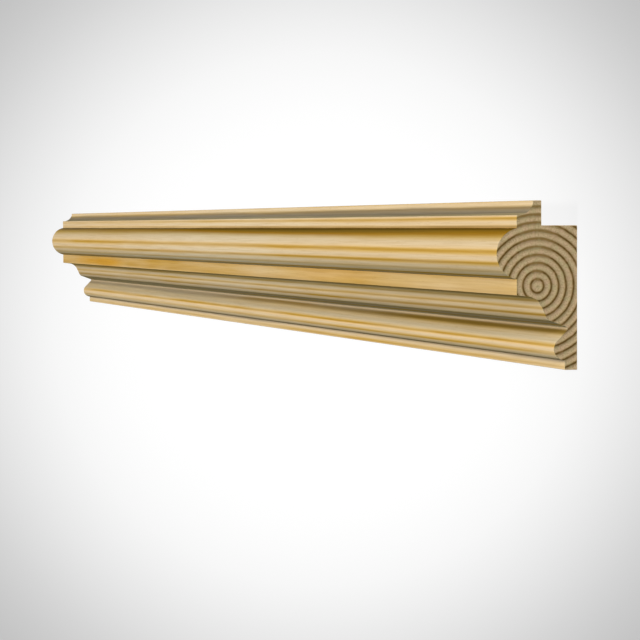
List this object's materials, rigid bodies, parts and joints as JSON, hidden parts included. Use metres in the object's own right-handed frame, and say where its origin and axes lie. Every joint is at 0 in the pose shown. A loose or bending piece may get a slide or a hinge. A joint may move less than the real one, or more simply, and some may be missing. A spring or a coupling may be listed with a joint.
{
  "type": "dado capping moulding",
  "caption": "Length of softwood dado capping with a moulded face of cavetto, torus, band, ogee and bead, and a rebate behind its top edge for the wall panelling.",
  "frame": {"origin": "middle of the flat back, on the plane that lies against the wall, halfway along the length and halfway up the height", "axes": "+X along the length, +Y up the wall towards the rebated top edge, +Z out from the wall through the moulded face"},
  "size_m": [1, 0.07, 0.0356],
  "materials": {
    "pine": "planed and moulded, unfinished"
  },
  "bodies": {
    "root": {"dado_capping": "pine"}
  },
  "joints": []
}
